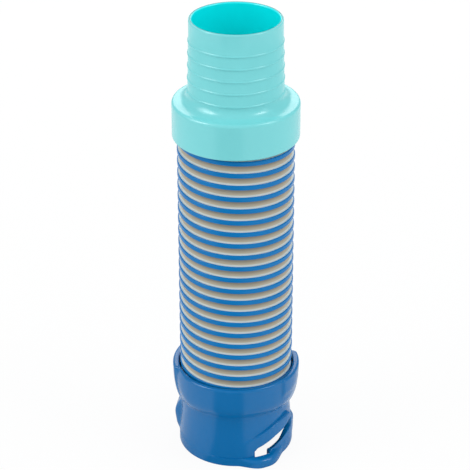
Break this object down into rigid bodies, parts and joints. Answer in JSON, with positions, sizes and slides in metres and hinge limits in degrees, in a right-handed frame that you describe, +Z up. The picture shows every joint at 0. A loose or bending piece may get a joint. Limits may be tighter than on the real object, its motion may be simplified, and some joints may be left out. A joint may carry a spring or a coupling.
{
  "type": "pool vacuum hose section",
  "caption": "Straight spiral-ribbed suction hose section with a ringed push-in spigot at one end and a swivelling bayonet twist-lock cuff at the other.",
  "frame": {"origin": "centre of the twist-lock cuff's bottom face, on the axis of the straight hose", "axes": "+Z up along the hose, from the twist-lock cuff to the spigot; -Y is the front, with one lug entry 28 degrees to its right"},
  "size_m": [0.0546, 0.0528, 0.1951],
  "materials": {
    "cuff_plastic": "satin moulded plastic, deep blue",
    "aqua_plastic": "satin moulded plastic, light aqua",
    "rib_plastic": "glossy extruded plastic, mid blue",
    "hose_grey": "soft flexible plastic, warm grey",
    "black_acetal": "matt, black",
    "white_acetal": "matt, natural white",
    "seal_rubber": "matt rubber, black"
  },
  "bodies": {
    "twist_lock_cuff": {"twist_lock_cuff": "cuff_plastic"},
    "hose_tail": {"tail_sleeve": "black_acetal", "upper_thrust_washer": "white_acetal", "lower_thrust_washer": "white_acetal", "retaining_ring": "black_acetal", "face_seal": "seal_rubber", "hose_wall": "hose_grey", "rib_1": "rib_plastic"},
    "hose_2": {"rib_2": "rib_plastic"},
    "hose_3": {"rib_3": "rib_plastic"},
    "hose_4": {"rib_4": "rib_plastic"},
    "hose_5": {"rib_5": "rib_plastic"},
    "hose_6": {"rib_6": "rib_plastic"},
    "hose_7": {"rib_7": "rib_plastic"},
    "hose_8": {"rib_8": "rib_plastic"},
    "spigot": {"rib_9": "rib_plastic", "hose_gasket": "seal_rubber", "spigot_cuff": "aqua_plastic"}
  },
  "joints": [
    {"name": "cuff_swivel", "type": "hinge", "parent": "twist_lock_cuff", "child": "hose_tail", "pos_m": [0, 0, 0.0267], "axis": [0, 0, 1], "continuous": true},
    {"name": "hose_bend_1", "type": "hinge", "parent": "hose_tail", "child": "hose_2", "pos_m": [0, 0, 0.05008], "axis": [1, 0, 0], "range_deg": [-5.5, 5.5], "stiffness_Nm_per_rad": 2.4, "deforming": ["hose_wall"]},
    {"name": "hose_bend_2", "type": "hinge", "parent": "hose_2", "child": "hose_3", "pos_m": [0, 0, 0.06186], "axis": [0, 1, 0], "range_deg": [-5.5, 5.5], "stiffness_Nm_per_rad": 2.4},
    {"name": "hose_bend_3", "type": "hinge", "parent": "hose_3", "child": "hose_4", "pos_m": [0, 0, 0.07364], "axis": [1, 0, 0], "range_deg": [-5.5, 5.5], "stiffness_Nm_per_rad": 2.4},
    {"name": "hose_bend_4", "type": "hinge", "parent": "hose_4", "child": "hose_5", "pos_m": [0, 0, 0.08542], "axis": [0, 1, 0], "range_deg": [-5.5, 5.5], "stiffness_Nm_per_rad": 2.4},
    {"name": "hose_bend_5", "type": "hinge", "parent": "hose_5", "child": "hose_6", "pos_m": [0, 0, 0.0972], "axis": [1, 0, 0], "range_deg": [-5.5, 5.5], "stiffness_Nm_per_rad": 2.4},
    {"name": "hose_bend_6", "type": "hinge", "parent": "hose_6", "child": "hose_7", "pos_m": [0, 0, 0.10898], "axis": [0, 1, 0], "range_deg": [-5.5, 5.5], "stiffness_Nm_per_rad": 2.4},
    {"name": "hose_bend_7", "type": "hinge", "parent": "hose_7", "child": "hose_8", "pos_m": [0, 0, 0.12076], "axis": [1, 0, 0], "range_deg": [-5.5, 5.5], "stiffness_Nm_per_rad": 2.4},
    {"name": "hose_bend_8", "type": "hinge", "parent": "hose_8", "child": "spigot", "pos_m": [0, 0, 0.13253], "axis": [0, 1, 0], "range_deg": [-5.5, 5.5], "stiffness_Nm_per_rad": 2.4}
  ],
  "couplings": [
    {"joint": "hose_bend_3", "follows": "hose_bend_1", "ratio": 1},
    {"joint": "hose_bend_4", "follows": "hose_bend_2", "ratio": 1},
    {"joint": "hose_bend_5", "follows": "hose_bend_1", "ratio": 1},
    {"joint": "hose_bend_6", "follows": "hose_bend_2", "ratio": 1},
    {"joint": "hose_bend_7", "follows": "hose_bend_1", "ratio": 1},
    {"joint": "hose_bend_8", "follows": "hose_bend_2", "ratio": 1}
  ]
}
